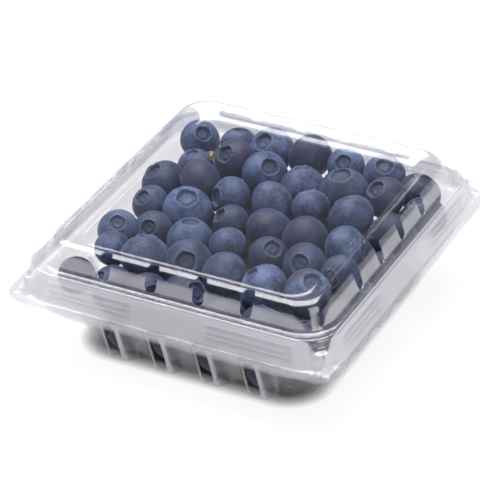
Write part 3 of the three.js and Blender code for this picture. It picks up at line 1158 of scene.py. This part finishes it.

# %% [markdown]
# ## Blueberry skin
#
# The skin is a dark navy, matte, under a pale dust of wax. The wax is thick in some places and
# rubbed off in others, so a soft noise sets how much shows, and each berry's own share shifts it;
# along the front and right walls that share is cut low as painted shade.
# The dish of the crown is a dull blue-grey, and its lip is pale. The berries deep in the heap get a
# darker, plainer finish: painted shade, because no light reaches them.

# %% Skin material
NAVY, PLUM, BLOOM = (0.014, 0.019, 0.047, 1), (0.025, 0.019, 0.044, 1), (0.112, 0.172, 0.330, 1)
LIP, DISH, SCAR = (0.135, 0.175, 0.285, 1), (0.036, 0.046, 0.085, 1), (0.055, 0.050, 0.055, 1)
# DEEP_SHADE and LIGHT_SHADE are painted shade: the navy darkened for the core deep in the heap.
DEEP_SHADE, LIGHT_SHADE = (0.004, 0.005, 0.011, 1), (0.013, 0.016, 0.034, 1)


def mix_colour(tree, share, first, second):
    made = tree.nodes.new("ShaderNodeMix")
    made.data_type = "RGBA"
    for value, slot in ((share, 0), (first, 6), (second, 7)):
        if hasattr(value, "links"):
            tree.links.new(value, made.inputs[slot])
        else:
            made.inputs[slot].default_value = value
    return made.outputs[2]


def attribute(tree, name):
    made = tree.nodes.new("ShaderNodeAttribute")
    made.attribute_name = name
    return made.outputs["Fac"]


def ramp(tree, value, stops):
    made = tree.nodes.new("ShaderNodeValToRGB")
    tree.links.new(value, made.inputs[0])
    elements = made.color_ramp.elements
    while len(elements) < len(stops):
        elements.new(0.5)
    for element, (at, level) in zip(elements, stops):
        element.position = at
        element.color = (level, level, level, 1)
    return made.outputs[0]


def noise(tree, place, scale, detail=3.0, roughness=0.5):
    made = node(tree, "ShaderNodeTexNoise", Scale=scale, Detail=detail, Roughness=roughness)
    tree.links.new(place, made.inputs["Vector"])
    return made.outputs[0]


def skin_material():
    """Navy to plum skin under a patchy dust of wax, with its crown and stalk scar."""
    material, tree = new_material("berry_skin")
    place = tree.nodes.new("ShaderNodeTexCoord").outputs["Object"]
    patches = noise(tree, place, 210.0, 4.0, 0.62)
    speckle = noise(tree, place, 1300.0, 3.0, 0.65)
    rubbed_and_painted_shade = math_node(tree, "MULTIPLY", ramp(tree, patches, [(0.38, 0.0), (0.64, 1.0)]), 0.75)
    dust = math_node(tree, "MULTIPLY", ramp(tree, speckle, [(0.35, 0.0), (0.7, 1.0)]), 0.4)
    dust = math_node(tree, "ADD", rubbed_and_painted_shade, dust)
    share = math_node(tree, "MULTIPLY", dust, attribute(tree, "bloom_share"))
    navy = mix_colour(tree, attribute(tree, "warmth"), NAVY, PLUM)
    waxy = mix_colour(tree, share, navy, BLOOM)
    lip = math_node(tree, "MULTIPLY", attribute(tree, "crown_lip"), 0.5)
    edged = mix_colour(tree, lip, waxy, LIP)
    dish = math_node(tree, "MULTIPLY", attribute(tree, "crown_dish"), 0.5)
    dished = mix_colour(tree, dish, edged, DISH)
    scar = mix_colour(tree, attribute(tree, "stalk_scar"), dished, SCAR)
    bump = node(tree, "ShaderNodeBump", Strength=0.25, Distance=0.0002)
    tree.links.new(speckle, bump.inputs["Height"])
    skin = node(tree, "ShaderNodeBsdfPrincipled", Roughness=0.55, IOR=1.42)
    skin.inputs["Sheen Weight"].default_value = 0.12
    skin.inputs["Sheen Roughness"].default_value = 0.5
    skin.inputs["Sheen Tint"].default_value = (0.55, 0.65, 0.9, 1)
    tree.links.new(scar, skin.inputs["Base Color"])
    tree.links.new(bump.outputs[0], skin.inputs["Normal"])
    out = tree.nodes.new("ShaderNodeOutputMaterial")
    tree.links.new(skin.outputs[0], out.inputs["Surface"])
    return material


skin_look = skin_material()


def shade_material():
    """Painted shade for the heap's depths: the same navy darkened, mottled at a berry's size."""
    material, tree = new_material("heap_shade")
    place = tree.nodes.new("ShaderNodeTexCoord").outputs["Object"]
    mottle = ramp(tree, noise(tree, place, 130.0, 3.0, 0.6), [(0.35, 0.0), (0.65, 1.0)])
    tone = mix_colour(tree, mottle, DEEP_SHADE, LIGHT_SHADE)
    shade = node(tree, "ShaderNodeBsdfPrincipled", Roughness=0.85)
    tree.links.new(tone, shade.inputs["Base Color"])
    out = tree.nodes.new("ShaderNodeOutputMaterial")
    tree.links.new(shade.outputs[0], out.inputs["Surface"])
    return material


shade_look = shade_material()
print("skin nodes", len(skin_look.node_tree.nodes))

# %% [markdown]
# ## Where the film is frosted
#
# The film is clear over the panel, hazy over the wall under the crest, and milky over the lid's
# lower wall. The corners of the tray's ribs are pale too, as folds of such film are. How milky
# each point is goes into an attribute, which the film's material reads.

# %% Frost
RIB_CORNER, RIB_FOOT, LINE_HALF = RIB_HALF_FACE, RIB_HALF_FACE + RIB_FLANK, 0.5
FLANGE_FROST, LOWER_WALL_FROST, LEDGE_FROST = 0.05, 0.52, 0.07
UPPER_WALL_FROST, PANEL_FROST, FOLD_FROST = 0.28, 0.008, 0.12
COLLAR_FROST, CORNER_FROST, FLANK_FROST, FOOT_FROST, TRAY_FROST = 0.03, 0.38, 0.16, 0.30, 0.015


def from_rib(along, pitch):
    """Distance from the middle of the nearest of a side's four ribs."""
    steps = along / pitch - 0.5
    nearest = min(max(round(steps), -2), 1)
    return abs(steps - nearest) * pitch


def frost_lid(inset, off_rib, z):
    if z < LID_FACE + 0.1 and inset < 3:
        return FLANGE_FROST
    if z < LEDGE_LEVEL and inset < 5.6:
        return LOWER_WALL_FROST
    if z < 35.2:
        return LEDGE_FROST
    return UPPER_WALL_FROST if inset < 9.6 else PANEL_FROST


def frost_tray(inset, off_rib, z):
    if z > TRAY_FACE - 0.3 and inset < 3:
        return FLANGE_FROST
    if z > 18.0:
        return COLLAR_FROST
    if z > 1.2 and abs(off_rib - RIB_CORNER) < LINE_HALF:
        return CORNER_FROST
    if z > 1.2 and abs(off_rib - RIB_FOOT) < LINE_HALF:
        return FLANK_FROST
    return FOOT_FROST if z < 0.5 and inset < 19.6 else TRAY_FROST


def frost_edge(inset, off_rib, z):
    return FOLD_FROST


FROSTED = (
    (lid_skin, frost_lid),
    (tray_skin, frost_tray),
    (strip, frost_edge),
    (buttons, frost_edge),
)
for piece, rule in FROSTED:
    data = piece.data
    field = data.attributes.new("frost", "FLOAT", "POINT")
    shares = []
    for vertex in data.vertices:
        x, y, z = (c / MM for c in vertex.co)
        inset_x, inset_y = HALF_X - abs(x), HALF_Y - abs(y)
        off_rib = from_rib(y, PITCH[0]) if inset_x < inset_y else from_rib(x, PITCH[1])
        shares.append(rule(min(inset_x, inset_y), off_rib, z))
    field.data.foreach_set("value", shares)
    print(piece.name, "mean frost", round(sum(shares) / len(shares), 3))

# %% [markdown]
# ## Handing out the finishes
#
# All pieces of film share one finish, and differ only in how frosted they are. The bit of stalk
# gets a dry bark of its own, in two browns mixed by a fine grain.

# %% Give the pieces their finishes
for piece in (lid_skin, tray_skin, strip, buttons):
    piece.data.materials.clear()
    piece.data.materials.append(film_look)
for piece, look in ((berries, skin_look), (core, shade_look)):
    piece.data.materials.clear()
    piece.data.materials.append(look)

# %% Dry stalk
DARK_BARK, PALE_BARK = (0.20, 0.13, 0.05, 1), (0.48, 0.36, 0.16, 1)


def dry_stalk():
    """Dry bark with a fine grain."""
    material, tree = new_material("dry_stalk")
    bark = node(tree, "ShaderNodeBsdfPrincipled", Roughness=0.75)
    place = tree.nodes.new("ShaderNodeTexCoord").outputs["Object"]
    grain = ramp(tree, noise(tree, place, 900.0, 2.0), [(0.35, 0.0), (0.7, 1.0)])
    tree.links.new(mix_colour(tree, grain, DARK_BARK, PALE_BARK), bark.inputs["Base Color"])
    out = tree.nodes.new("ShaderNodeOutputMaterial")
    tree.links.new(bark.outputs[0], out.inputs["Surface"])
    return material


twig.data.materials.append(dry_stalk())

# %% [markdown]
# ## Floor and light
#
# The pack stands on a plain pale floor with a low rim far away, so that a level view meets it too.
# The floor glows, and its glow fades out right under the tray: that dark patch is a painted
# shadow, so the floor seen through the tray stays dark while the floor all round stays pale. One
# broad soft light hangs above, a smaller one stands at the front right, and the sky is left dim,
# because the lid's flat panel mirrors it and would hide the berries.

# %% Floor and lights
FLOOR_HALF, FLOOR_EDGE, FLOOR_DROP, FLOOR_GLOW = 4.0, 0.32, 0.05, 0.88
# SHADE_FADE with SHADE_HALF_X and SHADE_HALF_Y sets the painted shadow under the tray: no glow
# there.
PAPER, SHADE_FADE = (0.12, 0.12, 0.12, 1), [(0.010, 0.0), (0.015, 1.0)]
SKY, SKY_STRENGTH, AIM = (0.42, 0.50, 1.0, 1), 0.09, Vector((0, 0, 0.02))
SHADE_HALF_X, SHADE_HALF_Y = 0.029, 0.033


def make_floor():
    """The stage: a wide glowing floor with a low rim, with a painted shadow under the tray."""
    data = bpy.data.meshes.new("floor")
    square = [(-FLOOR_HALF, -FLOOR_HALF), (FLOOR_HALF, -FLOOR_HALF),
              (FLOOR_HALF, FLOOR_HALF), (-FLOOR_HALF, FLOOR_HALF)]
    points = [(x, y, z) for z in (0.0, FLOOR_EDGE) for x, y in square]
    edges = [(k, (k + 1) % 4, 4 + (k + 1) % 4, 4 + k) for k in range(4)]
    data.from_pydata(points, [], [(0, 1, 2, 3)] + edges)
    made = bpy.data.objects.new("floor", data)
    made.location.z = -FLOOR_DROP * MM
    bpy.context.scene.collection.objects.link(made)
    material, tree = new_material("floor_paper")
    paper = node(tree, "ShaderNodeBsdfPrincipled", Roughness=1.0)
    paper.inputs["Base Color"].default_value = PAPER
    paper.inputs["Specular IOR Level"].default_value = 0.0
    paper.inputs["Emission Color"].default_value = (1, 1, 1, 1)
    place = tree.nodes.new("ShaderNodeTexCoord").outputs["Object"]
    parts = tree.nodes.new("ShaderNodeSeparateXYZ")
    tree.links.new(place, parts.inputs[0])
    squares = []
    for output, half in ((parts.outputs[0], SHADE_HALF_X), (parts.outputs[1], SHADE_HALF_Y)):
        beyond = math_node(tree, "SUBTRACT", math_node(tree, "ABSOLUTE", output, 0), half)
        squares.append(math_node(tree, "POWER", math_node(tree, "MAXIMUM", beyond, 0.0), 2.0))
    away = math_node(tree, "SQRT", math_node(tree, "ADD", squares[0], squares[1]), 0)
    # Painted shadow: the glow is cut out in a rounded square under the tray and returns just beyond
    # it.
    clear_of_painted_shadow = ramp(tree, away, SHADE_FADE)
    glow = math_node(tree, "MULTIPLY", clear_of_painted_shadow, FLOOR_GLOW)
    tree.links.new(glow, paper.inputs["Emission Strength"])
    out = tree.nodes.new("ShaderNodeOutputMaterial")
    tree.links.new(paper.outputs[0], out.inputs["Surface"])
    data.materials.append(material)
    return made


def area_light(name, place, size, power):
    """A soft light turned towards the pack."""
    data = bpy.data.lights.new(name, "AREA")
    data.shape = "RECTANGLE"
    data.size, data.size_y = size
    data.energy = power
    made = bpy.data.objects.new(name, data)
    made.location = place
    direction = AIM - Vector(place)
    made.rotation_euler = direction.to_track_quat("-Z", "Y").to_euler()
    bpy.context.scene.collection.objects.link(made)
    return made


make_floor()
world = bpy.data.worlds.new("studio")
world.use_nodes = True
world.node_tree.nodes["Background"].inputs[0].default_value = SKY
world.node_tree.nodes["Background"].inputs[1].default_value = SKY_STRENGTH
bpy.context.scene.world = world
area_light("key", (-0.4, 0.3, 1.5), (1.7, 1.7), 68.0)
area_light("fill", (1.3, -0.5, 0.7), (0.9, 0.9), 10.0)
bpy.context.scene.view_settings.view_transform = "Standard"
bpy.context.scene.cycles.transparent_max_bounces = 48
bpy.context.scene.cycles.max_bounces = 10

# %% [markdown]
# ## Riding on the frame
#
# Each piece rides on the body it belongs to, and the main pieces stand for the solids they replace.
# The folded strip rides on neither body: its place is baked into its points.

# %% Attach to the frame
for piece, body, solid, slot in (
    (tray_skin, "tray", "tray", "clear_film"),
    (lid_skin, "lid", "lid", "clear_film"),
    (berries, "tray", "berries", "berry_skin"),
    (core, "tray", "berries", "berry_skin"),
):
    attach(piece, body)
    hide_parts(solid)
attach(buttons, "lid")
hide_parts("lid")
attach(twig, "tray")
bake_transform(strip)
